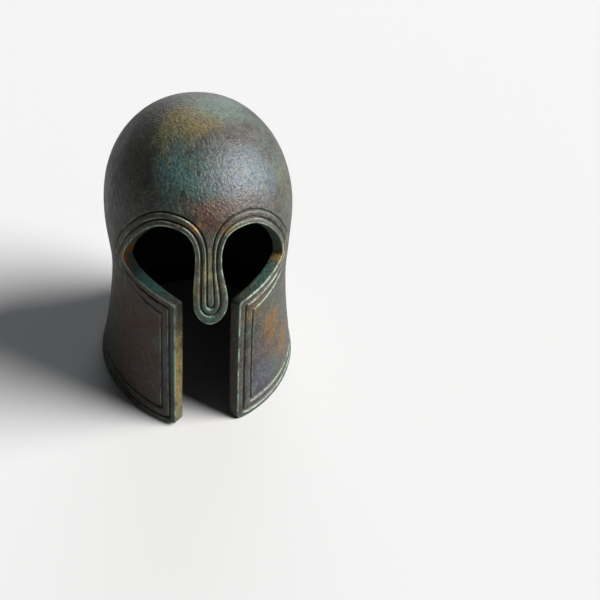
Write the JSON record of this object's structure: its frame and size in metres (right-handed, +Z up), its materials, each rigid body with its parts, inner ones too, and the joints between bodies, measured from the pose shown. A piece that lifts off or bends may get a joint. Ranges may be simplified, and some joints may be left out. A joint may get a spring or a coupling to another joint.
{
  "type": "corinthian helmet miniature",
  "caption": "Hand-sized cast bronze Corinthian helmet with a nose guard, almond eye openings, cheek guards and grooved edge bands",
  "frame": {"origin": "middle of the rim's footprint, on the plane it stands on", "axes": "+Z up to the crown, -Y the face, +X the side of the wearer's left cheek"},
  "size_m": [0.0858, 0.1036, 0.1205],
  "materials": {
    "patinated_bronze": "dark brown and blue-green patina over cast bronze, semi-matte, with rubbed pale crests"
  },
  "bodies": {
    "root": {"helmet_shell": "patinated_bronze"}
  },
  "joints": []
}
